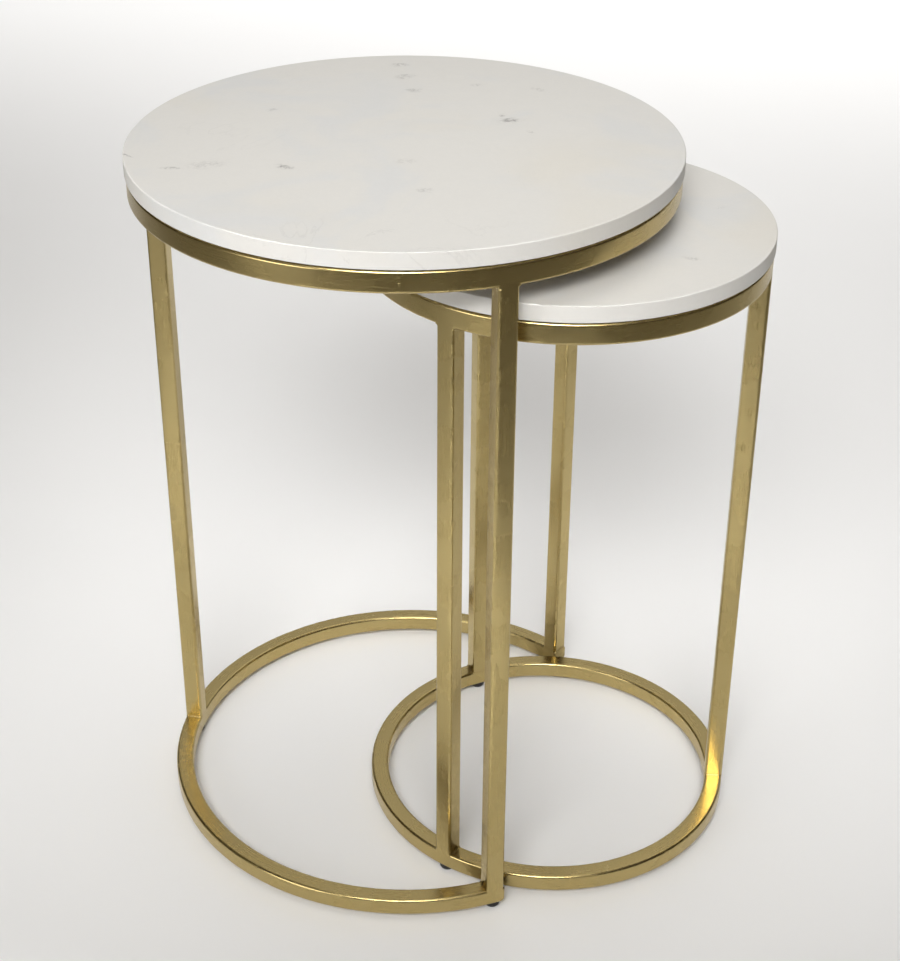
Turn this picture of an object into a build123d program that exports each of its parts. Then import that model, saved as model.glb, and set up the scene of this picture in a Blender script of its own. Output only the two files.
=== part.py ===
from build123d import *
import math
import os

# Two nesting side tables, in millimetres and degrees.
# The origin is on the floor, at the middle of the footprint of the pair as it stands, +Z is up,
# and +X is the way the small table draws out through the open side of the large one.

# ---------------------------------------------------------------- the two tables
LARGE_TOP_RADIUS = 225.0
LARGE_HEIGHT = 630.0
LARGE_LEG_SPREAD = 58.0  # front and back legs, each side of the pull-out axis

SMALL_LEG_STEP = 120.0
SMALL_TABLE_TURN = 5.0  # how far the small frame stands turned from the pull-out axis

PULL_OUT = 134.0  # distance between the two axes as the tables stand
PASSAGE_CLEARANCE = 4.0  # least room each side of the small table between the large legs
SIZE_STEP = 0.5  # the small table's radius is rounded down to this
NEST_HEADROOM = 22.0  # small table top to the underside of the large top ring

# ---------------------------------------------------------------- stone tops
SLAB_THICKNESS = 14.0
SLAB_TOP_ARRIS = 1.5
SLAB_BOTTOM_ARRIS = 0.8
SLAB_OVERHANG = 1.0  # slab edge beyond the tube frame

# ---------------------------------------------------------------- square tube frames
TUBE_WIDTH = 16.0
TUBE_WALL = 1.5
TUBE_CORNER = 2.5
TOP_RING_HEIGHT = 18.0
BASE_RING_HEIGHT = 16.0
WELD_GRIND = 0.1  # leg faces stand back this much from the ring faces
COPE_DEPTH = 1.5  # leg ends wrap this far round the rounded ring edges

# ---------------------------------------------------------------- end caps of the open base ring
CAP_PLATE = 1.5
CAP_EDGE = 1.0
CAP_PLUG_GAP = 0.5  # between the plug and the foot bush inside the ring
CAP_PLUG_CLEARANCE = 0.2

# ---------------------------------------------------------------- slab fixings
CUSHION_THICKNESS = 1.0
CUSHION_RADIUS = 5.0
CUSHIONS_PER_TABLE = 6
TAB_REACH = 24.0
TAB_WIDTH = 25.0
TAB_THICKNESS = 3.0
TAB_HOLE_RADIUS = 2.75
TAB_WELD_GAP = 0.02
SCREW_RADIUS = 2.5
SCREW_HEAD_RADIUS = 4.75
SCREW_HEAD_HEIGHT = 3.4
SCREW_HEAD_EDGE = 1.2
SCREW_SOCKET_FLATS = 3.0
SCREW_SOCKET_DEPTH = 2.0
SCREW_TIP_GAP = 1.0  # between the screw's end and the top of the insert
WASHER_RADIUS = 5.5
WASHER_HOLE_RADIUS = 2.7
WASHER_THICKNESS = 1.0
INSERT_RADIUS = 4.0
INSERT_LENGTH = 8.0
INSERT_THREAD_CLEARANCE = 0.05
INSERT_GLUE_LINE = 0.05
INSERT_GLUE_POCKET = 0.5  # above the insert, at the end of its hole

# ---------------------------------------------------------------- levelling feet
FOOT_HEIGHT = 6.0  # floor to the underside of the base ring
FOOT_RADIUS = 7.0
FOOT_SOLE_RADIUS = 4.0
FOOT_RIM_HEIGHT = 2.2
FOOT_SEAT_GAP = 0.1
STUD_RADIUS = 3.0
STUD_FLANGE_RADIUS = 4.5
STUD_FLANGE_THICKNESS = 2.0
STUD_END_GAP = 1.5  # below the inside top of the base ring
THREAD_PITCH = 1.0
THREAD_DEPTH = 0.45
BUSH_RADIUS = 5.0
BUSH_LENGTH = 10.0
BUSH_RUNNING_CLEARANCE = 0.05

# ---------------------------------------------------------------- sizes that follow from those above
LEG_CIRCLE = LARGE_TOP_RADIUS - SLAB_OVERHANG - TUBE_WIDTH / 2
LEG_SPREAD = math.radians(LARGE_LEG_SPREAD)
LEG_HALF_SPAN = TUBE_WIDTH / 2 * (math.sin(LEG_SPREAD) + math.cos(LEG_SPREAD))
PASSAGE_HALF_WIDTH = LEG_CIRCLE * math.sin(LEG_SPREAD) - LEG_HALF_SPAN
SMALL_TOP_RADIUS = (PASSAGE_HALF_WIDTH - PASSAGE_CLEARANCE) // SIZE_STEP * SIZE_STEP
TOP_BUILD_UP = SLAB_THICKNESS + CUSHION_THICKNESS + TOP_RING_HEIGHT
SMALL_HEIGHT = LARGE_HEIGHT - TOP_BUILD_UP - NEST_HEADROOM
CAP_PLUG = TUBE_WIDTH / 2 - BUSH_RADIUS - CAP_PLUG_GAP
STUD_REACH = BASE_RING_HEIGHT - TUBE_WALL - STUD_END_GAP
FOOTPRINT_MIDDLE = (PULL_OUT + SMALL_TOP_RADIUS - LARGE_TOP_RADIUS) / 2
LARGE_AXIS_X = -FOOTPRINT_MIDDLE
SMALL_AXIS_X = PULL_OUT - FOOTPRINT_MIDDLE


class Table:
    """The levels and radii of one table, worked out from its own driving sizes."""

    def __init__(self, name, axis_x, top_radius, height, legs, open_side):
        self.name = name
        self.axis = Pos(axis_x, 0, 0)
        self.top_radius = top_radius
        self.height = height
        self.legs = legs
        self.open_side = open_side
        self.frame_radius = top_radius - SLAB_OVERHANG
        self.inner_radius = self.frame_radius - TUBE_WIDTH
        self.tube_radius = self.frame_radius - TUBE_WIDTH / 2
        self.base_bottom = FOOT_HEIGHT
        self.base_top = FOOT_HEIGHT + BASE_RING_HEIGHT
        self.slab_bottom = height - SLAB_THICKNESS
        self.ring_top = self.slab_bottom - CUSHION_THICKNESS
        self.ring_bottom = self.ring_top - TOP_RING_HEIGHT
        self.tab_bottom = self.ring_top - TAB_THICKNESS
        self.fixing_radius = self.inner_radius - TAB_REACH / 2

    def fixing_angles(self):
        """Fixings stand half-way between neighbouring legs."""
        turns = sorted(angle % 360 for angle in self.legs.values())
        following = turns[1:] + [turns[0] + 360]
        return [(a + b) / 2 for a, b in zip(turns, following)]

    def base_end_angle(self):
        """Where the open base ring stops, in line with the side of the last leg."""
        return LARGE_LEG_SPREAD - math.degrees(math.atan(TUBE_WIDTH / 2 / self.tube_radius))


LARGE = Table(
    "large", LARGE_AXIS_X, LARGE_TOP_RADIUS, LARGE_HEIGHT,
    {"left": 180.0, "front": -LARGE_LEG_SPREAD, "back": LARGE_LEG_SPREAD},
    open_side=True,
)
SMALL = Table(
    "small", SMALL_AXIS_X, SMALL_TOP_RADIUS, SMALL_HEIGHT,
    {
        "right": SMALL_TABLE_TURN,
        "back": SMALL_TABLE_TURN + SMALL_LEG_STEP,
        "front": SMALL_TABLE_TURN - SMALL_LEG_STEP,
    },
    open_side=False,
)


# ---------------------------------------------------------------- helpers
def around(radius, angle, z=0.0):
    """The place at a radius and an angle round a table's own axis, facing outwards."""
    return Rot(0, 0, angle) * Pos(radius, 0, z)


def upright_cylinder(radius, bottom, top):
    """A cylinder on the local Z axis between two levels."""
    return extrude(Pos(0, 0, bottom) * Circle(radius), top - bottom)


def copies(shape, radius, angles):
    """Like pieces of one table, as separate solids for one node."""
    return [around(radius, angle) * shape for angle in angles]


# ---------------------------------------------------------------- tube frames
def tube_profile(width, height, hollow):
    """Rounded rectangle of a tube, with its bore where it is hollow."""
    profile = RectangleRounded(width, height, TUBE_CORNER)
    if hollow:
        bore_corner = TUBE_CORNER - TUBE_WALL
        profile -= RectangleRounded(width - 2 * TUBE_WALL, height - 2 * TUBE_WALL, bore_corner)
    return profile


def rolled_tube(radius, bottom, height, start=0.0, arc=360.0, hollow=True):
    """A tube rolled to a circle, or to part of one from a start angle."""
    profile = Plane.XZ * Pos(radius, bottom + height / 2) * tube_profile(TUBE_WIDTH, height, hollow)
    return Rot(0, 0, start) * revolve(profile, Axis.Z, revolution_arc=arc)


def top_ring(table):
    return rolled_tube(table.tube_radius, table.ring_bottom, TOP_RING_HEIGHT)


def base_ring(table):
    """A closed ring, or one open towards +X, with a hole under each leg for the foot bush."""
    start = table.base_end_angle() if table.open_side else 0.0
    ring = rolled_tube(table.tube_radius, table.base_bottom, BASE_RING_HEIGHT, start, 360 - 2 * start)
    bore = upright_cylinder(BUSH_RADIUS, table.base_bottom - 1, table.base_bottom + TUBE_WALL + 1)
    for angle in table.legs.values():
        ring -= around(table.tube_radius, angle) * bore
    return ring


def leg(table, angle):
    """Square tube between the rings, its ends coped round the rounded ring edges."""
    side = TUBE_WIDTH - 2 * WELD_GRIND
    bottom = table.base_top - COPE_DEPTH
    length = table.ring_bottom + COPE_DEPTH - bottom
    tube = extrude(Pos(0, 0, bottom) * tube_profile(side, side, True), length)
    tube = around(table.tube_radius, angle) * tube
    tube -= rolled_tube(table.tube_radius, table.base_bottom, BASE_RING_HEIGHT, hollow=False)
    return tube - rolled_tube(table.tube_radius, table.ring_bottom, TOP_RING_HEIGHT, hollow=False)


def base_end_cap(table, side):
    """Welded cap on one end of the open base ring; side is +1 at the back and -1 in front."""
    turn = math.radians(table.base_end_angle()) * side
    outward = Vector(math.cos(turn), math.sin(turn), 0)
    opening = Vector(math.sin(turn), -math.cos(turn), 0) * side
    middle = outward * table.tube_radius + Vector(0, 0, table.base_bottom + BASE_RING_HEIGHT / 2)
    face = Plane(origin=middle, x_dir=outward, z_dir=opening)
    plate = extrude(tube_profile(TUBE_WIDTH, BASE_RING_HEIGHT, False), CAP_PLATE)
    plate = fillet(plate.faces().sort_by(Axis.Z)[-1].edges(), CAP_EDGE)
    plug_width = TUBE_WIDTH - 2 * (TUBE_WALL + CAP_PLUG_CLEARANCE)
    plug_height = BASE_RING_HEIGHT - 2 * (TUBE_WALL + CAP_PLUG_CLEARANCE)
    plug = extrude(RectangleRounded(plug_width, plug_height, TUBE_CORNER - TUBE_WALL), -CAP_PLUG)
    return face * (plate + plug)


# ---------------------------------------------------------------- stone slab and its fixings
def slab(table):
    """Round stone top with eased edges and three blind holes in its underside."""
    stone = upright_cylinder(table.top_radius, table.slab_bottom, table.height)
    stone = fillet(stone.edges().sort_by(Axis.Z)[-1], SLAB_TOP_ARRIS)
    stone = fillet(stone.edges().sort_by(Axis.Z)[0], SLAB_BOTTOM_ARRIS)
    hole_top = table.slab_bottom + INSERT_LENGTH + INSERT_GLUE_POCKET
    hole = upright_cylinder(INSERT_RADIUS + INSERT_GLUE_LINE, table.slab_bottom - 1, hole_top)
    for angle in table.fixing_angles():
        stone -= around(table.fixing_radius, angle) * hole
    return stone


def slab_inserts(table):
    """Threaded sleeves glued into the slab."""
    top = table.slab_bottom + INSERT_LENGTH
    sleeve = upright_cylinder(INSERT_RADIUS, table.slab_bottom, top)
    bore_radius = SCREW_RADIUS + INSERT_THREAD_CLEARANCE
    sleeve -= upright_cylinder(bore_radius, table.slab_bottom - 1, top + 1)
    return copies(sleeve, table.fixing_radius, table.fixing_angles())


def slab_cushions(table):
    """Soft discs between the slab and the top ring."""
    disc = upright_cylinder(CUSHION_RADIUS, table.ring_top, table.slab_bottom)
    step = 360.0 / CUSHIONS_PER_TABLE
    first = table.fixing_angles()[0] + step / 2
    return copies(disc, table.tube_radius, [first + i * step for i in range(CUSHIONS_PER_TABLE)])


def fixing_tabs(table):
    """Flat tabs welded to the inside of the top ring, each with a screw hole."""
    inner_end = table.inner_radius - TAB_REACH
    outline = Pos((inner_end + table.frame_radius) / 2, 0)
    outline *= Rectangle(table.frame_radius - inner_end, TAB_WIDTH)
    outline = fillet(outline.vertices().sort_by(Axis.X)[:2], TAB_WIDTH / 4)
    outline &= Circle(table.inner_radius - TAB_WELD_GAP)
    outline -= Pos(table.fixing_radius, 0) * Circle(TAB_HOLE_RADIUS)
    tab = extrude(Pos(0, 0, table.tab_bottom) * outline, TAB_THICKNESS)
    return copies(tab, 0.0, table.fixing_angles())


def fixing_washers(table):
    washer = upright_cylinder(WASHER_RADIUS, table.tab_bottom - WASHER_THICKNESS, table.tab_bottom)
    washer -= upright_cylinder(WASHER_HOLE_RADIUS, table.tab_bottom - 2 * WASHER_THICKNESS, table.ring_top)
    return copies(washer, table.fixing_radius, table.fixing_angles())


def fixing_screws(table):
    """Button-head screws with a hexagon socket, driven up into the slab inserts."""
    head_top = table.tab_bottom - WASHER_THICKNESS
    head_bottom = head_top - SCREW_HEAD_HEIGHT
    head = upright_cylinder(SCREW_HEAD_RADIUS, head_bottom, head_top)
    head = fillet(head.edges().sort_by(Axis.Z)[0], SCREW_HEAD_EDGE)
    socket = RegularPolygon(SCREW_SOCKET_FLATS / 2, 6, major_radius=False)
    head -= extrude(Pos(0, 0, head_bottom) * socket, SCREW_SOCKET_DEPTH)
    shank_top = table.slab_bottom + INSERT_LENGTH - SCREW_TIP_GAP
    screw = head + upright_cylinder(SCREW_RADIUS, head_top - 1, shank_top)
    return copies(screw, table.fixing_radius, table.fixing_angles())


# ---------------------------------------------------------------- levelling feet
def foot_bushes(table):
    """Threaded bushes welded into the base ring under the legs."""
    top = table.base_bottom + BUSH_LENGTH
    bush = upright_cylinder(BUSH_RADIUS, table.base_bottom, top)
    bush -= upright_cylinder(STUD_RADIUS + BUSH_RUNNING_CLEARANCE, table.base_bottom - 1, top + 1)
    return copies(bush, table.tube_radius, table.legs.values())


def foot_pad(table, angle):
    """Domed pad with a flat sole, recessed on top for the stud's flange."""
    top = FOOT_HEIGHT - FOOT_SEAT_GAP
    rim = top - FOOT_RIM_HEIGHT
    outline = Polyline((0, 0), (0, top), (FOOT_RADIUS, top), (FOOT_RADIUS, rim))
    outline += Spline(
        (FOOT_RADIUS, rim), (FOOT_SOLE_RADIUS, 0), tangents=[(0, -1), (-1, 0)]
    )
    outline += Line((FOOT_SOLE_RADIUS, 0), (0, 0))
    pad = revolve(Plane.XZ * make_face(outline), Axis.Z)
    pad -= upright_cylinder(STUD_FLANGE_RADIUS, top - STUD_FLANGE_THICKNESS, top + 1)
    return around(table.tube_radius, angle) * pad


def foot_stud(table, angle):
    """Flanged stud; its thread is a stack of rings at the pitch."""
    flange_top = FOOT_HEIGHT - FOOT_SEAT_GAP
    stud_top = FOOT_HEIGHT + STUD_REACH
    root = STUD_RADIUS - THREAD_DEPTH
    outline = [
        (0, flange_top - STUD_FLANGE_THICKNESS),
        (STUD_FLANGE_RADIUS, flange_top - STUD_FLANGE_THICKNESS),
        (STUD_FLANGE_RADIUS, flange_top),
    ]
    turns = int((stud_top - flange_top) / THREAD_PITCH)
    for i in range(turns):
        level = flange_top + i * THREAD_PITCH
        outline += [(root, level), (STUD_RADIUS, level + THREAD_PITCH / 2)]
    outline += [(root, flange_top + turns * THREAD_PITCH), (0, flange_top + turns * THREAD_PITCH)]
    stud = revolve(Plane.XZ * make_face(Polyline(*outline, close=True)), Axis.Z)
    return around(table.tube_radius, angle) * stud


# ---------------------------------------------------------------- every piece of one table
def table_nodes(table):
    """Node names and solids of one table, each solid moved to the table's axis."""
    nodes = {
        "stone_top": slab(table),
        "top_inserts": slab_inserts(table),
        "top_cushions": slab_cushions(table),
        "top_ring": top_ring(table),
        "top_tabs": fixing_tabs(table),
        "top_washers": fixing_washers(table),
        "top_screws": fixing_screws(table),
        "base_ring": base_ring(table),
        "foot_bushes": foot_bushes(table),
    }
    if table.open_side:
        nodes["base_cap_front"] = base_end_cap(table, -1)
        nodes["base_cap_back"] = base_end_cap(table, 1)
    for place, angle in table.legs.items():
        nodes[f"leg_{place}"] = leg(table, angle)
        nodes[f"foot_pad_{place}"] = foot_pad(table, angle)
        nodes[f"foot_stud_{place}"] = foot_stud(table, angle)
    placed = {}
    for name, made in nodes.items():
        shapes = made if isinstance(made, list) else [made]
        solids = [table.axis * solid for shape in shapes for solid in shape.solids()]
        placed[f"{table.name}_{name}"] = solids[0] if len(solids) == 1 else Compound(solids)
    return placed


os.makedirs("parts", exist_ok=True)
for node, shape in {**table_nodes(LARGE), **table_nodes(SMALL)}.items():
    export_step(shape, f"parts/{node}.step")
    print(node, len(shape.solids()), round(shape.volume, 1))
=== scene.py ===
"""Nesting side tables: round marble tops on satin brass tube frames.

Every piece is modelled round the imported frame, from the boxes of its nodes. All sizes are in
metres. The large table's base ring is open on one side, so that the small table slides in.
"""

import math

import bpy
from bpy.props import (
    FloatProperty,
    FloatVectorProperty,
    IntProperty,
    PointerProperty,
)
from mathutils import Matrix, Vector


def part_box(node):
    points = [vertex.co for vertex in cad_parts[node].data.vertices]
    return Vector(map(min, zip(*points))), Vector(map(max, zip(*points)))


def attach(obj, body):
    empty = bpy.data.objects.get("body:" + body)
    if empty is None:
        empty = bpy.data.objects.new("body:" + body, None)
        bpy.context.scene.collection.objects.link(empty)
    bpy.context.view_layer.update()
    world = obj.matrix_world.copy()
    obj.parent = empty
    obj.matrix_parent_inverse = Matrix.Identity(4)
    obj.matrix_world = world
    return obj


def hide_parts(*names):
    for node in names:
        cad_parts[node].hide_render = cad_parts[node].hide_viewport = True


bl_info = {
    "name": "Nesting Tables",
    "version": (1, 0, 0),
    "blender": (4, 5, 0),
    "location": "View3D > Sidebar > Tables",
    "description": "Two round nesting tables with marble tops and satin brass frames",
    "category": "Object",
}

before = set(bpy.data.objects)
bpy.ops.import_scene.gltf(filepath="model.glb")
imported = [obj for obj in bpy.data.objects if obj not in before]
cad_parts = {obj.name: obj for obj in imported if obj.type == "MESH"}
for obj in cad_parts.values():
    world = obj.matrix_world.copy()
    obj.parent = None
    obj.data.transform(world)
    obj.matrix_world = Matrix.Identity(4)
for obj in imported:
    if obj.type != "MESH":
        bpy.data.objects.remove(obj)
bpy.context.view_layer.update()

MM = 0.001
SMOOTH_BELOW = math.radians(40)  # corners sharper than this stay crisp
MERGE_BELOW = 0.002 * MM
CAP_SEAT = 4 * MM  # the open ring ends this far short of the leg faces at its opening
SUNK_BELOW_CORNER = 0.3 * MM  # leg ends go this much deeper than the ring's rounded corner


# ---------------------------------------------------------------- places read from the frame
class TablePlaces:
    """Levels, radii and leg angles of one table, read from the boxes of its CAD nodes."""

    def __init__(self, name, leg_names):
        self.name = name
        self.body = f"{name}_table"
        ring_low, ring_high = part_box(f"{name}_top_ring")
        base_low, base_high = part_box(f"{name}_base_ring")
        slab_low, slab_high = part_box(f"{name}_stone_top")
        self.axis_x = (ring_low.x + ring_high.x) / 2
        self.outer = (ring_high.y - ring_low.y) / 2
        self.ring_bottom, self.ring_top = ring_low.z, ring_high.z
        self.base_bottom, self.base_top = base_low.z, base_high.z
        self.slab_radius = (slab_high.y - slab_low.y) / 2
        self.slab_bottom, self.slab_top = slab_low.z, slab_high.z
        self.tube = self.base_top - self.base_bottom
        self.middle = self.outer - self.tube / 2
        self.legs = {place: self.angle_of(f"{name}_leg_{place}") for place in leg_names}

    def angle_of(self, node):
        """The direction of a node's middle from the table's own axis."""
        low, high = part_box(node)
        return math.atan2((low.y + high.y) / 2, (low.x + high.x) / 2 - self.axis_x)

    def open_half(self):
        """Half the angle that the open base ring leaves free, from +X to where its tube ends."""
        leg_half = math.atan(self.tube / 2 / self.middle)
        return self.legs["back"] - leg_half + CAP_SEAT / self.middle

    def node(self, part):
        return f"{self.name}_{part}"


LARGE = TablePlaces("large", ("left", "front", "back"))
SMALL = TablePlaces("small", ("right", "front", "back"))
TABLES = (LARGE, SMALL)


# ---------------------------------------------------------------- sizes and colours
class StoneSettings(bpy.types.PropertyGroup):
    top_edge: FloatProperty(
        name="Top edge", description="Radius of the slab's upper edge",
        default=1.0 * MM, unit="LENGTH",
    )
    bottom_edge: FloatProperty(
        name="Bottom edge", description="Radius of the slab's lower edge",
        default=0.8 * MM, unit="LENGTH",
    )
    facets: IntProperty(
        name="Facets", description="Sides of the slab's outline", default=288,
    )
    light: FloatVectorProperty(
        name="Light stone", description="Colour of the clear stone",
        default=(0.664, 0.650, 0.618), subtype="COLOR",
    )
    cool: FloatVectorProperty(
        name="Cool cloud", description="Colour of the cooler clouds",
        default=(0.636, 0.634, 0.622), subtype="COLOR",
    )
    warm: FloatVectorProperty(
        name="Warm cloud", description="Colour of the creamy clouds",
        default=(0.664, 0.638, 0.582), subtype="COLOR",
    )
    vein: FloatVectorProperty(
        name="Vein", description="Colour of veins and flecks",
        default=(0.23, 0.22, 0.21), subtype="COLOR",
    )
    polish: FloatProperty(
        name="Polish", description="Roughness of the honed face",
        default=0.58, subtype="FACTOR",
    )


class BrassSettings(bpy.types.PropertyGroup):
    corner: FloatProperty(
        name="Tube corner", description="Outer corner radius of the tube",
        default=2.5 * MM, unit="LENGTH",
    )
    steps: IntProperty(
        name="Steps", description="Steps of a full ring when it is rolled", default=240,
    )
    face: FloatVectorProperty(
        name="Brass", description="Colour of the satin faces",
        default=(0.500, 0.395, 0.176), subtype="COLOR",
    )
    deep: FloatVectorProperty(
        name="Deep brass", description="Colour of the darker mottling",
        default=(0.488, 0.381, 0.164), subtype="COLOR",
    )
    # Colour of the painted shade beside the leg joints and of the thin dark seam line at the base
    # ring
    seam_and_painted_shade: FloatVectorProperty(
        name="Weld tint", description="Colour beside the welds",
        default=(0.38, 0.28, 0.12), subtype="COLOR",
    )
    satin: FloatProperty(
        name="Satin", description="Roughness of the satin finish",
        default=0.26, subtype="FACTOR",
    )
    top_weld: FloatProperty(
        name="Top weld", description="Radius of the weld where a leg meets its top ring",
        default=2.2 * MM, unit="LENGTH",
    )
    base_weld: FloatProperty(
        name="Base weld", description="Radius of the weld where a leg meets its base ring",
        default=0.9 * MM, unit="LENGTH",
    )
    proud: FloatProperty(
        name="Proud", description="How far the ground leg faces stand before the rings",
        default=0.13 * MM, unit="LENGTH",
    )


class FootSettings(bpy.types.PropertyGroup):
    sole: FloatProperty(
        name="Sole", description="Radius of the flat sole", default=4.0 * MM, unit="LENGTH",
    )
    black: FloatVectorProperty(
        name="Black", description="Colour of the foot pads",
        default=(0.012, 0.012, 0.013), subtype="COLOR",
    )


class StageSettings(bpy.types.PropertyGroup):
    floor: FloatVectorProperty(
        name="Floor", description="Colour of the floor",
        default=(0.93, 0.93, 0.93), subtype="COLOR",
    )
    floor_size: FloatProperty(
        name="Floor size", description="Side of the floor", default=14.0, unit="LENGTH",
    )
    floor_shift: FloatProperty(
        name="Floor shift", description="How far the floor's middle lies behind the tables",
        default=2.0, unit="LENGTH",
    )
    room: FloatVectorProperty(
        name="Room", description="Colour of the room's own light",
        default=(1.0, 0.84, 0.60), subtype="COLOR",
    )
    room_light: FloatProperty(
        name="Room light", description="Strength of the room's own light", default=0.08,
    )
    lens: FloatProperty(
        name="Lens", description="Focal length of the camera, in millimetres", default=69.15,
    )


# ---------------------------------------------------------------- modelling words
def deselect():
    """Nothing is selected and no object is being edited."""
    if bpy.context.object and bpy.context.object.mode != "OBJECT":
        bpy.ops.object.mode_set(mode="OBJECT")
    bpy.ops.object.select_all(action="DESELECT")


def only(piece):
    """Only this piece is selected, and it is the active one."""
    deselect()
    piece.select_set(True)
    bpy.context.view_layer.objects.active = piece


def apply_place(piece):
    """The piece's place goes into its mesh."""
    only(piece)
    bpy.ops.object.transform_apply(location=True, rotation=True, scale=True)


def pick(piece, what, test):
    """Selects edges of the edited piece by their ends, or faces by their middles and normals."""
    bpy.ops.mesh.select_mode(type={"edges": "EDGE", "faces": "FACE"}[what])
    bpy.ops.mesh.select_all(action="DESELECT")
    bpy.ops.object.mode_set(mode="OBJECT")
    mesh = piece.data
    if what == "edges":
        for edge in mesh.edges:
            edge.select = all(test(mesh.vertices[i].co) for i in edge.vertices)
    else:
        for face in mesh.polygons:
            face.select = test(face.center, face.normal)
    bpy.ops.object.mode_set(mode="EDIT")


def edit(piece):
    """Starts editing one piece."""
    only(piece)
    bpy.ops.object.mode_set(mode="EDIT")


def pick_long_edges(piece, axis, length):
    """Starts editing a box with the four edges that run its length along one axis picked."""
    edit(piece)
    bpy.ops.mesh.select_mode(type="EDGE")
    bpy.ops.mesh.select_all(action="DESELECT")
    bpy.ops.object.mode_set(mode="OBJECT")
    for edge in piece.data.edges:
        a, b = (getattr(piece.data.vertices[i].co, axis) for i in edge.vertices)
        edge.select = abs(a - b) > length / 2
    bpy.ops.object.mode_set(mode="EDIT")


def push(distance, axis):
    """Extrudes the picked faces along one axis."""
    move = tuple(distance if axis == name else 0.0 for name in "xyz")
    bpy.ops.mesh.extrude_region_move(TRANSFORM_OT_translate={"value": move})


def smooth(piece):
    """Smooth corners between faces that stay flat, and crisp edges."""
    only(piece)
    bpy.ops.object.shade_smooth_by_angle(angle=SMOOTH_BELOW)
    bpy.ops.object.modifier_add(type="WEIGHTED_NORMAL")
    piece.modifiers[-1].keep_sharp = True
    bpy.ops.object.modifier_apply(modifier=piece.modifiers[-1].name)


def outward(piece):
    """Closes the seams of a piece and turns its faces outward."""
    edit(piece)
    bpy.ops.mesh.select_all(action="SELECT")
    bpy.ops.mesh.remove_doubles(threshold=MERGE_BELOW)
    bpy.ops.mesh.normals_make_consistent(inside=False)
    bpy.ops.object.mode_set(mode="OBJECT")


def copy_turned(piece, name, axis_x, angle):
    """A copy with its own mesh, turned round the upright axis and moved to its table."""
    only(piece)
    bpy.ops.object.duplicate(linked=False)
    copy = bpy.context.object
    copy.name = copy.data.name = name
    copy.rotation_euler = (0, 0, angle)
    copy.location = (axis_x, 0, 0)
    apply_place(copy)
    return copy


def mirror_y(piece):
    """A mirrored copy with its own mesh, faces outward."""
    copy = copy_turned(piece, f"{piece.name}_mirrored", 0.0, 0.0)
    copy.scale = (1, -1, 1)
    apply_place(copy)
    outward(copy)
    return copy


def discard(piece):
    """Deletes a pattern that has been copied."""
    only(piece)
    bpy.ops.object.delete()


def hand_over(piece, body, slot, material, *nodes):
    """Gives a finished piece its finish and its body, and stands it in for CAD nodes."""
    smooth(piece)
    piece.data.materials.clear()
    piece.data.materials.append(material)
    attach(piece, body)
    if nodes:
        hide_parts(*nodes)


def refinish(node, material):
    """A CAD node keeps its mesh and gets its finish."""
    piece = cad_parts[node]
    if not piece.material_slots:
        piece.data.materials.append(material)
    for place in piece.material_slots:
        place.material = material


# ---------------------------------------------------------------- materials
class Finish:
    """One material's node tree, built with few words."""

    def __init__(self, name):
        self.material = bpy.data.materials.new(name)
        self.material.use_nodes = True
        self.tree = self.material.node_tree
        self.shader = self.tree.nodes["Principled BSDF"]

    def add(self, kind, inputs=None, **settings):
        node = self.tree.nodes.new(kind)
        for key, value in settings.items():
            setattr(node, key, value)
        for key, value in (inputs or {}).items():
            self.feed(node.inputs[key], value)
        return node

    def feed(self, socket, value):
        if isinstance(value, bpy.types.NodeSocket):
            self.tree.links.new(value, socket)
        else:
            socket.default_value = value

    def place(self, centre=(0, 0, 0), scale=(1, 1, 1)):
        """Object coordinates about a centre, then stretched."""
        where = self.add("ShaderNodeTexCoord").outputs["Object"]
        moved = self.add(
            "ShaderNodeVectorMath", {0: where, 1: centre}, operation="SUBTRACT"
        ).outputs["Vector"]
        return self.add(
            "ShaderNodeMapping", {"Vector": moved, "Scale": scale}
        ).outputs["Vector"]

    def noise(self, vector, scale, detail=3.0, roughness=0.5, distortion=0.0):
        return self.add(
            "ShaderNodeTexNoise",
            {
                "Vector": vector, "Scale": scale, "Detail": detail,
                "Roughness": roughness, "Distortion": distortion,
            },
        ).outputs["Fac"]

    def math(self, operation, a, b=0.0, clamp=False):
        return self.add(
            "ShaderNodeMath", {0: a, 1: b}, operation=operation, use_clamp=clamp
        ).outputs["Value"]

    def remap(self, value, low, high, to_low=0.0, to_high=1.0):
        return self.add(
            "ShaderNodeMapRange",
            {
                "Value": value, "From Min": low, "From Max": high,
                "To Min": to_low, "To Max": to_high,
            },
            interpolation_type="SMOOTHSTEP",
        ).outputs["Result"]

    def mix(self, factor, a, b):
        node = self.add("ShaderNodeMix", data_type="RGBA")
        self.feed(node.inputs["Factor"], factor)
        for socket, value in ((node.inputs[6], a), (node.inputs[7], b)):
            if not isinstance(value, bpy.types.NodeSocket):
                value = (*value[:3], 1.0)
            self.feed(socket, value)
        return node.outputs[2]

    def reach(self, parts):
        """The distance from the upright axis, from separated coordinates."""
        flat = self.add("ShaderNodeCombineXYZ", {"X": parts.outputs["X"], "Y": parts.outputs["Y"]})
        return self.add(
            "ShaderNodeVectorMath", {0: flat.outputs["Vector"]}, operation="LENGTH"
        ).outputs["Value"]

    def bump(self, height, distance, strength=1.0, below=None):
        inputs = {"Height": height, "Distance": distance, "Strength": strength}
        if below is not None:
            inputs["Normal"] = below
        return self.add("ShaderNodeBump", inputs).outputs["Normal"]

    def finish(self, **sockets):
        for key, value in sockets.items():
            name = key.replace("_", " ")
            if isinstance(value, tuple) and len(value) == 3:
                value = (*value, 1.0)
            self.feed(self.shader.inputs[name], value)
        return self.material


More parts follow.
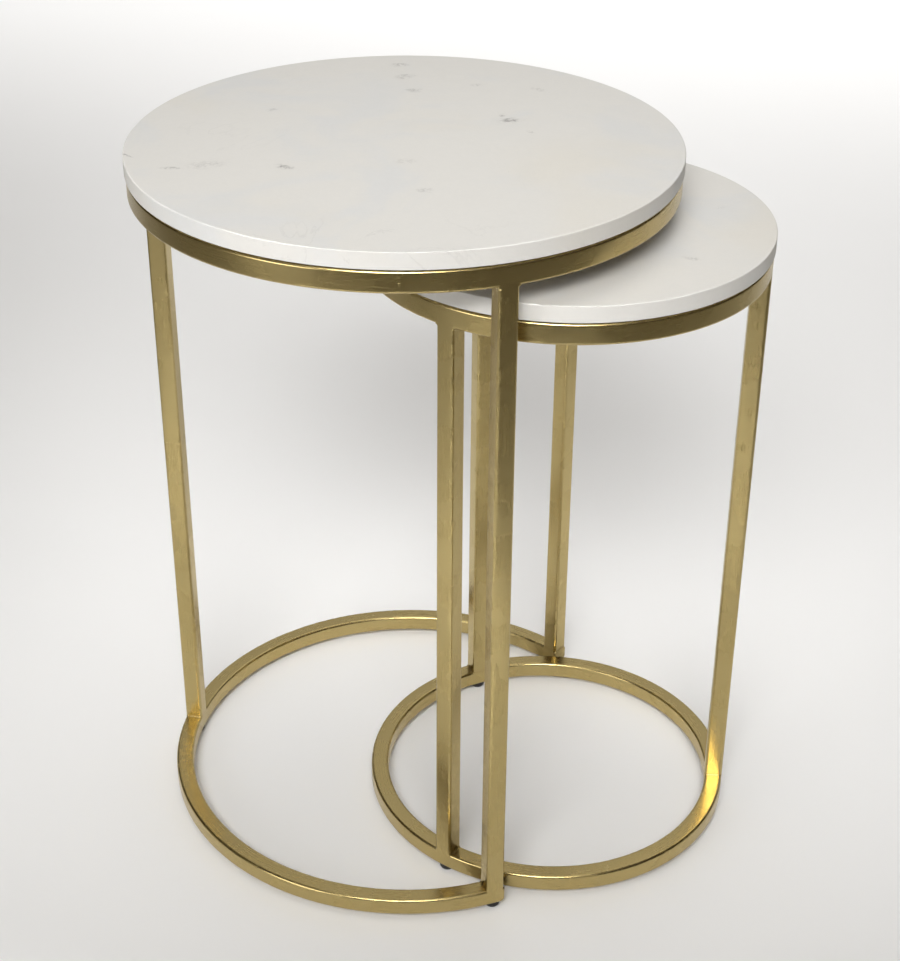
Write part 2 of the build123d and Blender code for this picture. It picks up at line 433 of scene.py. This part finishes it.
def marks_on(finish, marks, vector):
    """Adds up soft marks: each is (x, y, length, width, turn in degrees, strength)."""
    total = 0.0
    for x, y, length, width, turn, strength in marks:
        moved = finish.add(
            "ShaderNodeVectorMath", {0: vector, 1: (x, y, 0.0)}, operation="SUBTRACT"
        ).outputs["Vector"]
        stretched = finish.add(
            "ShaderNodeMapping",
            {
                "Vector": moved, "Rotation": (0, 0, math.radians(turn)),
                "Scale": (length, width, max(length, width)),
            },
            vector_type="TEXTURE",
        ).outputs["Vector"]
        reach = finish.add(
            "ShaderNodeVectorMath", {0: stretched}, operation="LENGTH"
        ).outputs["Value"]
        mark = finish.remap(reach, 1.0, 0.0, 0.0, strength)
        total = finish.math("ADD", total, mark)
    return total


# Grey marks of the slabs, from each table's axis: x, y, length, width, turn in degrees, strength.
LARGE_MARKS = (
    (0.0749, 0.0673, 0.010, 0.007, 20, 1.9),
    (0.0749, 0.0673, 0.021, 0.013, 35, 0.30),
    (0.066, 0.078, 0.007, 0.004, 60, 1.2),
    (0.0960, 0.0420, 0.006, 0.004, -30, 0.8),
    (-0.0785, -0.0766, 0.012, 0.007, -20, 1.3),
    (0.0378, -0.1011, 0.009, 0.007, 0, 0.9),
    (-0.1630, -0.0970, 0.014, 0.0040, 12, 1.4),
    (-0.1405, -0.0855, 0.022, 0.012, 25, 0.55),
    (-0.0471, 0.1906, 0.012, 0.008, 10, 1.1),
    (-0.0350, 0.1600, 0.014, 0.010, 40, 0.9),
    (-0.0192, 0.1257, 0.012, 0.009, 0, 0.9),
    (0.0300, 0.1500, 0.009, 0.005, 25, 0.7),
    (0.0850, 0.1500, 0.012, 0.006, -25, 0.6),
    (0.0100, -0.0450, 0.012, 0.008, 15, 0.5),
    (-0.1250, 0.0500, 0.008, 0.005, 50, 0.6),
    (-0.2080, -0.0775, 0.011, 0.0018, -31, 1.6),
)
SMALL_MARKS = (
    (0.070, 0.030, 0.013, 0.007, 30, 0.8),
    (0.105, -0.060, 0.010, 0.006, -15, 0.7),
    (0.120, 0.050, 0.008, 0.004, 40, 0.6),
    (-0.060, -0.070, 0.010, 0.006, 15, 0.6),
)
CRYSTAL = (0.56, 0.56, 0.54)  # darker grains of the stone
VEIN_STRENGTH = 0.13
FLECK_STRENGTH = 0.55
MARK_STRENGTH = 0.8


def marble(name, settings, table, marks, drift):
    """Honed white marble: soft clouds, crystal grain, thin veins and a few grey marks."""
    stone = Finish(name)
    centre = (table.axis_x, 0.0, table.slab_top)
    here = stone.place(centre)
    shifted = stone.add(
        "ShaderNodeVectorMath", {0: here, 1: drift}, operation="ADD"
    ).outputs["Vector"]
    clouds = stone.noise(shifted, 9.0, 5.0, 0.55, 0.8)
    cream = stone.noise(shifted, 5.0, 3.0, 0.5, 0.4)
    colour = stone.mix(stone.remap(clouds, 0.47, 0.66), settings.light, settings.cool)
    colour = stone.mix(stone.remap(cream, 0.52, 0.72, 0.0, 0.75), colour, settings.warm)

    grain = stone.add(
        "ShaderNodeTexVoronoi", {"Vector": shifted, "Scale": 620.0}
    ).outputs["Color"]
    grain_value = stone.add("ShaderNodeSeparateColor", {"Color": grain}).outputs[0]
    veil = stone.noise(shifted, 180.0, 4.0, 0.6)
    speckle = stone.math("ADD", stone.math("MULTIPLY", grain_value, 0.5), veil)
    colour = stone.mix(stone.remap(speckle, 0.45, 1.15, 0.0, 0.10), colour, CRYSTAL)

    ridge = stone.noise(shifted, 7.0, 8.0, 0.62, 1.4)
    line = stone.math("ABSOLUTE", stone.math("SUBTRACT", ridge, 0.5))
    vein = stone.remap(line, 0.012, 0.0, 0.0, 1.0)
    where = stone.remap(stone.noise(shifted, 3.5, 2.0), 0.50, 0.66)
    vein = stone.math("MULTIPLY", vein, where)
    colour = stone.mix(stone.math("MULTIPLY", vein, VEIN_STRENGTH), colour, settings.vein)

    ragged = stone.remap(stone.noise(shifted, 260.0, 6.0, 0.7), 0.38, 0.62)
    patchy = stone.remap(stone.noise(shifted, 75.0, 5.0, 0.65), 0.36, 0.60)
    shape = stone.math("MULTIPLY", ragged, patchy)
    spread = stone.math("MULTIPLY", marks_on(stone, marks, here), MARK_STRENGTH)
    mark = stone.math("MULTIPLY", shape, spread, clamp=True)
    colour = stone.mix(mark, colour, settings.vein)

    flecks = stone.noise(shifted, 330.0, 2.0, 0.5)
    sparse = stone.noise(shifted, 26.0, 2.0, 0.5)
    fleck = stone.math(
        "MULTIPLY", stone.remap(flecks, 0.735, 0.79), stone.remap(sparse, 0.60, 0.70)
    )
    colour = stone.mix(stone.math("MULTIPLY", fleck, FLECK_STRENGTH), colour, settings.vein)

    rough = stone.remap(
        stone.noise(shifted, 60.0, 4.0), 0.3, 0.7, settings.polish - 0.05, settings.polish + 0.06
    )
    relief = stone.bump(stone.noise(shifted, 480.0, 3.0), 0.05 * MM, 0.25)
    waves = stone.bump(stone.noise(shifted, 14.0, 2.0), 0.25 * MM, 0.35, relief)
    return stone.finish(
        Base_Color=colour, Roughness=rough, Normal=waves, Specular_IOR_Level=0.2, IOR=1.5,
    )


BRUSH_STRETCH = 0.02  # brush lines are 50 times as long as they are wide


def brass(name, settings, table, upright, welds=()):
    """Satin brass: fine brush lines along the tube and soft mottling.

    Each weld is (level, reach, strength) of painted shade beside a joint, or of a thin dark seam
    line, that leaves the outer faces clean.
    """
    metal = Finish(name)
    axis = (table.axis_x, 0.0, 0.0)
    here = metal.place(axis)
    parts = metal.add("ShaderNodeSeparateXYZ", {"Vector": here})
    if upright:
        along = metal.place(axis, scale=(1.0, 1.0, BRUSH_STRETCH))
    else:
        turn = metal.math("ARCTAN2", parts.outputs["Y"], parts.outputs["X"])
        along = metal.add(
            "ShaderNodeCombineXYZ",
            {
                "X": metal.math("MULTIPLY", turn, table.middle * BRUSH_STRETCH),
                "Y": metal.reach(parts), "Z": parts.outputs["Z"],
            },
        ).outputs["Vector"]
    brushed = metal.noise(along, 2600.0, 3.0, 0.6)
    broad = metal.noise(along, 420.0, 3.0, 0.55)
    cloud = metal.noise(here, 32.0, 2.0, 0.5, 0.3)
    tone = metal.remap(cloud, 0.36, 0.66)
    colour = metal.mix(tone, settings.face, settings.deep)
    colour = metal.mix(metal.remap(broad, 0.42, 0.75, 0.0, 0.22), colour, settings.deep)
    # Painted shade beside the leg joints and thin dark seam lines, kept off the outer faces
    for level, spread, strength in welds:
        height = metal.math("SUBTRACT", parts.outputs["Z"], level)
        near = metal.remap(metal.math("ABSOLUTE", height), spread, 0.0, 0.0, strength)
        inner = metal.remap(
            metal.reach(parts), table.outer - 1.0 * MM, table.outer - 2.6 * MM
        )
        colour = metal.mix(metal.math("MULTIPLY", near, inner), colour, settings.seam_and_painted_shade)
    rough = metal.remap(tone, 0.0, 1.0, settings.satin - 0.01, settings.satin + 0.02)
    rough = metal.math("ADD", rough, metal.remap(brushed, 0.3, 0.7, -0.012, 0.015))
    lines = metal.bump(brushed, 0.001 * MM, 0.10)
    relief = metal.bump(metal.noise(here, 14.0, 1.0), 0.03 * MM, 0.10, lines)
    return metal.finish(
        Base_Color=colour, Metallic=1.0, Roughness=rough, Normal=relief,
    )


def plain_metal(name, light, dark, rough):
    """Small turned or plated parts: fine grain over two close tones."""
    metal = Finish(name)
    here = metal.place()
    grain = metal.noise(here, 900.0, 4.0, 0.6)
    colour = metal.mix(metal.remap(grain, 0.35, 0.7), light, dark)
    roughness = metal.remap(grain, 0.3, 0.7, rough - 0.05, rough + 0.08)
    return metal.finish(
        Base_Color=colour, Metallic=1.0, Roughness=roughness,
        Normal=metal.bump(grain, 0.02 * MM, 0.3),
    )


DUST = (0.045, 0.043, 0.04)  # dull grey on the black pads


def black_pad(name, settings):
    """Moulded black pads with a dull, finely pitted skin."""
    pad = Finish(name)
    here = pad.place()
    pits = pad.noise(here, 1600.0, 3.0, 0.6)
    dust = pad.noise(here, 300.0, 4.0, 0.6)
    colour = pad.mix(pad.remap(dust, 0.52, 0.8, 0.0, 0.5), settings.black, DUST)
    return pad.finish(
        Base_Color=colour, Roughness=pad.remap(dust, 0.3, 0.7, 0.42, 0.58),
        Normal=pad.bump(pits, 0.04 * MM, 0.4),
    )


def silicone(name):
    """Clear soft discs, a little cloudy."""
    disc = Finish(name)
    haze = disc.noise(disc.place(), 500.0, 3.0)
    colour = disc.mix(haze, (0.80, 0.82, 0.82), (0.66, 0.68, 0.68))
    return disc.finish(
        Base_Color=colour, Roughness=disc.remap(haze, 0.3, 0.7, 0.30, 0.45),
        Transmission_Weight=0.6, IOR=1.41,
    )


# ---------------------------------------------------------------- pieces
def rolled_bar(name, table, bottom, height, corner, steps, start=0.0, end=math.tau):
    """A tube of rounded square section rolled round the table's axis, over all or part."""
    deselect()
    arc = end - start
    whole = arc > math.tau - 1e-6
    bpy.ops.mesh.primitive_plane_add(
        size=1.0, location=(table.middle, 0, bottom + height / 2), rotation=(math.pi / 2, 0, 0)
    )
    bar = bpy.context.object
    bar.name = bar.data.name = name
    bar.scale = (table.tube, height, 1.0)
    apply_place(bar)
    edit(bar)
    bpy.ops.mesh.select_all(action="SELECT")
    bpy.ops.mesh.bevel(offset=corner, segments=6, affect="VERTICES")
    bpy.ops.mesh.select_all(action="SELECT")
    if whole:
        bpy.ops.mesh.delete(type="ONLY_FACE")
        bpy.ops.mesh.select_all(action="SELECT")
    bpy.ops.object.mode_set(mode="OBJECT")
    bar.rotation_euler = (0, 0, start)
    apply_place(bar)
    edit(bar)
    bpy.ops.mesh.select_all(action="SELECT")
    turns = max(8, round(steps * arc / math.tau))
    bpy.ops.mesh.spin(steps=turns, angle=-arc, center=(0, 0, 0), axis=(0, 0, 1))
    bpy.ops.object.mode_set(mode="OBJECT")
    bar.location = (table.axis_x, 0, 0)
    apply_place(bar)
    outward(bar)
    return bar


def stone_slab(table, settings):
    """Round slab with eased edges."""
    deselect()
    thickness = table.slab_top - table.slab_bottom
    bpy.ops.mesh.primitive_cylinder_add(
        vertices=settings.facets, radius=table.slab_radius, depth=thickness,
        location=(table.axis_x, 0, table.slab_bottom + thickness / 2),
    )
    slab = bpy.context.object
    slab.name = slab.data.name = table.node("marble_slab")
    apply_place(slab)
    edit(slab)
    pick(slab, "edges", lambda co: co.z > table.slab_top - 0.01 * MM)
    bpy.ops.mesh.bevel(offset=settings.top_edge, segments=5, affect="EDGES")
    pick(slab, "edges", lambda co: co.z < table.slab_bottom + 0.01 * MM)
    bpy.ops.mesh.bevel(offset=settings.bottom_edge, segments=3, affect="EDGES")
    inner_rings = (0.6 * MM, table.slab_radius * 0.3)
    for way in (1, -1):
        pick(slab, "faces", lambda co, normal: normal.z * way > 0.999)
        for width in inner_rings:
            bpy.ops.mesh.inset(thickness=width)
    bpy.ops.object.mode_set(mode="OBJECT")
    return slab


def leg_post(table, settings, open_end=False):
    """A square leg at angle zero whose ends flare into the welds and run flush into both rings.

    A leg at the open end of a base ring has no weld on its -Y side there.
    """
    deselect()
    side = table.tube + 2 * settings.proud
    low = table.base_top + settings.base_weld
    high = table.ring_bottom - settings.top_weld
    bpy.ops.mesh.primitive_cube_add(size=1.0, location=(table.middle, 0, (low + high) / 2))
    post = bpy.context.object
    post.scale = (side, side, high - low)
    apply_place(post)
    pick_long_edges(post, "z", high - low)
    bpy.ops.mesh.bevel(offset=settings.corner, segments=5, affect="EDGES")
    steps = 5
    for way, weld in ((-1, settings.base_weld), (1, settings.top_weld)):
        pick(post, "faces", lambda co, normal: normal.z * way > 0.9 and (co.z - low) * way >= 0)
        one_sided = open_end and way < 0
        centre = (table.middle, -side / 2 if one_sided else 0, low if way < 0 else high)
        reach, width = 0.0, side
        for i in range(1, steps + 1):
            turn = math.pi / 2 * i / steps
            new_reach = weld * math.sin(turn)
            new_width = side + (1 if one_sided else 2) * weld * (1 - math.cos(turn))
            push(way * (new_reach - reach), "z")
            bpy.ops.transform.resize(value=(1, new_width / width, 1), center_override=centre)
            reach, width = new_reach, new_width
        push(way * (settings.corner + SUNK_BELOW_CORNER), "z")
    bpy.ops.object.mode_set(mode="OBJECT")
    # the faces follow the ring's curve
    for vertex in post.data.vertices:
        vertex.co.x -= vertex.co.y ** 2 / (2 * table.outer)
    outward(post)
    return post


def end_cap(table, settings):
    """Rounded cap of the open ring at angle zero, facing -Y."""
    deselect()
    inside = 1.0 * MM
    length = CAP_SEAT + 0.5 * MM
    rise, narrowing = 3.6 * MM, 1.6 * MM
    height = width = table.tube
    middle_z = table.base_bottom + height / 2
    bpy.ops.mesh.primitive_cube_add(size=1.0, location=(table.middle, inside / 2, middle_z))
    cap = bpy.context.object
    cap.scale = (width, inside, height)
    apply_place(cap)
    pick_long_edges(cap, "y", inside)
    bpy.ops.mesh.bevel(offset=settings.corner, segments=6, affect="EDGES")
    pick(cap, "faces", lambda co, normal: normal.y < -0.9)
    steps = 7
    centre = (table.middle, 0, table.base_top)
    reach, tall, wide = 0.0, height, width
    for i in range(1, steps + 1):
        turn = math.pi / 2 * i / steps
        new_reach = length * math.sin(turn)
        new_tall = height - rise * (1 - math.cos(turn))
        new_wide = width - narrowing * (1 - math.cos(turn)) ** 2
        push(reach - new_reach, "y")
        bpy.ops.transform.resize(
            value=(new_wide / wide, 1, new_tall / tall), center_override=centre
        )
        reach, tall, wide = new_reach, new_tall, new_wide
    bpy.ops.object.mode_set(mode="OBJECT")
    outward(cap)
    return cap


def foot_dome(table, settings):
    """Domed pad under a leg at angle zero, with a moulding line round its rim."""
    deselect()
    low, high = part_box(table.node(f"foot_pad_{list(table.legs)[0]}"))
    radius, tall = (high.y - low.y) / 2, high.z - low.z
    centre = (table.middle, 0, low.z)
    bpy.ops.mesh.primitive_circle_add(
        vertices=48, radius=settings.sole, fill_type="NGON", location=centre
    )
    pad = bpy.context.object
    apply_place(pad)
    edit(pad)
    bpy.ops.mesh.select_all(action="SELECT")
    dome_rise = tall * 0.62
    steps = 7
    lip = 0.25 * MM
    profile = []
    for i in range(1, steps + 1):
        turn = math.pi / 2 * i / steps
        profile.append((
            settings.sole + (radius - settings.sole) * math.sin(turn),
            dome_rise * (1 - math.cos(turn)),
        ))
    profile += [
        (radius, tall - 1.5 * MM), (radius - lip, tall - 1.4 * MM),
        (radius - lip, tall - 0.3 * MM), (radius - 2 * lip, tall - 0.05 * MM),
        (radius - 4 * lip, tall),
    ]
    level, size = 0.0, settings.sole
    for new_size, new_level in profile:
        push(new_level - level, "z")
        ratio = new_size / size
        bpy.ops.transform.resize(value=(ratio, ratio, 1), center_override=centre)
        level, size = new_level, new_size
    bpy.ops.object.mode_set(mode="OBJECT")
    outward(pad)
    return pad


# ---------------------------------------------------------------- operators
class TABLES_OT_stone_tops(bpy.types.Operator):
    """Models both marble slabs"""

    bl_idname = "tables.stone_tops"
    bl_label = "Stone tops"

    def execute(self, context):
        settings = context.scene.tables_stone
        for table, marks, drift in (
            (LARGE, LARGE_MARKS, (3.1, 1.7, 0.4)),
            (SMALL, SMALL_MARKS, (7.3, 4.9, 2.2)),
        ):
            finish = marble(table.node("marble"), settings, table, marks, drift)
            slab = stone_slab(table, settings)
            hand_over(slab, table.body, "white_marble", finish, table.node("stone_top"))
        return {"FINISHED"}


class TABLES_OT_rings(bpy.types.Operator):
    """Rolls the top rings and the base rings"""

    bl_idname = "tables.rings"
    bl_label = "Rings"

    def execute(self, context):
        settings = context.scene.tables_brass
        for table in TABLES:
            finish = brass(table.node("ring_brass"), settings, table, False)
            top = rolled_bar(
                table.node("top_band"), table, table.ring_bottom,
                table.ring_top - table.ring_bottom, settings.corner, settings.steps,
            )
            hand_over(top, table.body, "brushed_gold", finish, table.node("top_ring"))
            start = table.open_half() if table is LARGE else 0.0
            end = math.tau - start
            base = rolled_bar(
                table.node("base_band"), table, table.base_bottom, table.tube,
                settings.corner, settings.steps, start, end,
            )
            hand_over(base, table.body, "brushed_gold", finish, table.node("base_ring"))
        return {"FINISHED"}


class TABLES_OT_legs(bpy.types.Operator):
    """Models the six legs with their welds"""

    bl_idname = "tables.legs"
    bl_label = "Legs"

    def execute(self, context):
        settings = context.scene.tables_brass
        for table in TABLES:
            # Two broad bands of painted shade where the legs meet the rings, then a thin dark seam
            # line at the base ring: level, reach, strength
            welds = (
                (table.base_top, 5.0 * MM, 0.20), (table.ring_bottom, 5.0 * MM, 0.15),
                (table.base_top, 0.35 * MM, 0.55),
            )
            finish = brass(table.node("leg_brass"), settings, table, True, welds)
            patterns = dict.fromkeys(table.legs, leg_post(table, settings))
            if table is LARGE:
                patterns["back"] = leg_post(table, settings, open_end=True)
                patterns["front"] = mirror_y(patterns["back"])
            for place, angle in table.legs.items():
                pattern = patterns[place]
                leg = copy_turned(pattern, table.node(f"post_{place}"), table.axis_x, angle)
                hand_over(leg, table.body, "brushed_gold", finish, table.node(f"leg_{place}"))
            for pattern in set(patterns.values()):
                discard(pattern)
        return {"FINISHED"}


class TABLES_OT_end_caps(bpy.types.Operator):
    """Closes the two ends of the open base ring"""

    bl_idname = "tables.end_caps"
    bl_label = "End caps"

    def execute(self, context):
        settings = context.scene.tables_brass
        turn = LARGE.open_half()
        finish = brass("end_cap_brass", settings, LARGE, False)
        back_pattern = end_cap(LARGE, settings)
        front_pattern = mirror_y(back_pattern)
        for place, pattern, angle in (
            ("back", back_pattern, turn), ("front", front_pattern, -turn)
        ):
            cap = copy_turned(pattern, f"large_cap_{place}", LARGE.axis_x, angle)
            hand_over(cap, LARGE.body, "brushed_gold", finish, f"large_base_cap_{place}")
            discard(pattern)
        return {"FINISHED"}


class TABLES_OT_feet(bpy.types.Operator):
    """Models the foot pads and finishes their studs"""

    bl_idname = "tables.feet"
    bl_label = "Feet"

    def execute(self, context):
        settings = context.scene.tables_foot
        pads = black_pad("foot_black", settings)
        steel = plain_metal("stud_steel", (0.60, 0.61, 0.62), (0.48, 0.49, 0.50), 0.32)
        for table in TABLES:
            pattern = foot_dome(table, settings)
            for place, angle in table.legs.items():
                body = f"{table.name}_foot_{place}"
                pad = copy_turned(pattern, table.node(f"glide_{place}"), table.axis_x, angle)
                hand_over(pad, body, "black_rubber", pads, table.node(f"foot_pad_{place}"))
                refinish(table.node(f"foot_stud_{place}"), steel)
            discard(pattern)
        return {"FINISHED"}


class TABLES_OT_fixings(bpy.types.Operator):
    """Finishes the fixings under the slabs"""

    bl_idname = "tables.fixings"
    bl_label = "Fixings"

    def execute(self, context):
        settings = context.scene.tables_brass
        steel = plain_metal("fixing_zinc", (0.64, 0.65, 0.66), (0.50, 0.51, 0.53), 0.30)
        sleeves = plain_metal("insert_brass_turned", (0.66, 0.50, 0.22), (0.54, 0.39, 0.15), 0.28)
        discs = silicone("cushion_silicone")
        for table in TABLES:
            plated = brass(table.node("tab_brass"), settings, table, False)
            refinish(table.node("top_tabs"), plated)
            refinish(table.node("top_washers"), steel)
            refinish(table.node("top_screws"), steel)
            refinish(table.node("top_inserts"), sleeves)
            refinish(table.node("foot_bushes"), steel)
            refinish(table.node("top_cushions"), discs)
        return {"FINISHED"}


# Lamps: name, place, aim, width, length, power in watts, spread in degrees.
LAMPS = (
    ("overhead", (0.0, 0.1, 2.6), (0.0, 0.1, 0.0), 1.5, 1.5, 2.45, 54.0),
    ("front_key", (0.15, -1.80, 1.95), (0.0, 0.12, 0.42), 1.6, 0.7, 5.7, 42.0),
    ("front_strip", (0.0, -0.76, 2.0), (0.0, -0.76, 0.0), 1.05, 0.7, 1.85, 7.0),
    ("left_card", (-1.0, -1.4, 0.55), (-0.1, -0.1, 0.2), 0.75, 0.7, 3.2, 115.0),
    ("back_wall", (0.0, 4.2, 2.0), (0.0, 0.0, 0.9), 8.0, 4.0, 43.0, 180.0),
    ("back_floor", (0.0, 3.2, 3.0), (0.0, 3.1, 0.0), 6.0, 2.6, 62.0, 90.0),
)
CAMERA_PLACE = (0.27273, -1.38554, 1.14514)
CAMERA_TURN = (59.640, -0.306, 11.315)  # degrees
SENSOR = 36.0  # millimetres


class TABLES_OT_stage(bpy.types.Operator):
    """Lays the floor and sets up the lights and the camera"""

    bl_idname = "tables.stage"
    bl_label = "Stage"

    def execute(self, context):
        settings = context.scene.tables_stage
        scene = context.scene
        deselect()
        bpy.ops.mesh.primitive_plane_add(
            size=settings.floor_size, location=(0, settings.floor_shift, 0)
        )
        floor = context.object
        floor.name = "floor"
        paint = Finish("floor_paint")
        here = paint.place()
        tone = paint.noise(here, 2.0, 2.0)
        darker = tuple(value * 0.985 for value in settings.floor)
        floor.data.materials.append(
            paint.finish(Base_Color=paint.mix(tone, settings.floor, darker), Roughness=0.9)
        )

        for name, spot, aim, width, length, power, spread in LAMPS:
            deselect()
            direction = Vector(aim) - Vector(spot)
            bpy.ops.object.light_add(
                type="AREA", location=spot,
                rotation=direction.to_track_quat("-Z", "Y").to_euler(),
            )
            lamp = context.object
            lamp.name = name
            lamp.data.shape = "RECTANGLE"
            lamp.data.size, lamp.data.size_y = width, length
            lamp.data.energy = power
            lamp.data.spread = math.radians(spread)
        world = bpy.data.worlds.new("studio")
        world.use_nodes = True
        backdrop = world.node_tree.nodes["Background"]
        backdrop.inputs["Color"].default_value = (*settings.room, 1.0)
        backdrop.inputs["Strength"].default_value = settings.room_light
        scene.world = world
        scene.view_settings.view_transform = "Standard"

        deselect()
        bpy.ops.object.camera_add(
            location=CAMERA_PLACE,
            rotation=tuple(math.radians(angle) for angle in CAMERA_TURN),
        )
        camera = context.object
        camera.data.sensor_width = SENSOR
        camera.data.lens = settings.lens
        camera.data.dof.use_dof = False
        scene.camera = camera
        return {"FINISHED"}


OPERATORS = (
    TABLES_OT_stone_tops,
    TABLES_OT_rings,
    TABLES_OT_legs,
    TABLES_OT_end_caps,
    TABLES_OT_feet,
    TABLES_OT_fixings,
    TABLES_OT_stage,
)
SETTINGS = {
    "tables_stone": StoneSettings,
    "tables_brass": BrassSettings,
    "tables_foot": FootSettings,
    "tables_stage": StageSettings,
}


class TABLES_PT_panel(bpy.types.Panel):
    """Lists the settings and the steps of the nesting tables"""

    bl_label = "Nesting Tables"
    bl_idname = "TABLES_PT_panel"
    bl_space_type = "VIEW_3D"
    bl_region_type = "UI"
    bl_category = "Tables"

    def draw(self, context):
        layout = self.layout
        for key, group in SETTINGS.items():
            box = layout.box()
            values = getattr(context.scene, key)
            for field in group.__annotations__:
                box.prop(values, field)
        for operator in OPERATORS:
            layout.operator(operator.bl_idname)


def register():
    for group in SETTINGS.values():
        bpy.utils.register_class(group)
    for key, group in SETTINGS.items():
        setattr(bpy.types.Scene, key, PointerProperty(type=group))
    for operator in OPERATORS:
        bpy.utils.register_class(operator)
    bpy.utils.register_class(TABLES_PT_panel)


def unregister():
    bpy.utils.unregister_class(TABLES_PT_panel)
    for operator in reversed(OPERATORS):
        bpy.utils.unregister_class(operator)
    for key in SETTINGS:
        delattr(bpy.types.Scene, key)
    for group in SETTINGS.values():
        bpy.utils.unregister_class(group)


def main():
    register()
    bpy.ops.tables.stone_tops()
    bpy.ops.tables.rings()
    bpy.ops.tables.legs()
    bpy.ops.tables.end_caps()
    bpy.ops.tables.feet()
    bpy.ops.tables.fixings()
    bpy.ops.tables.stage()


if __name__ == "__main__":
    main()
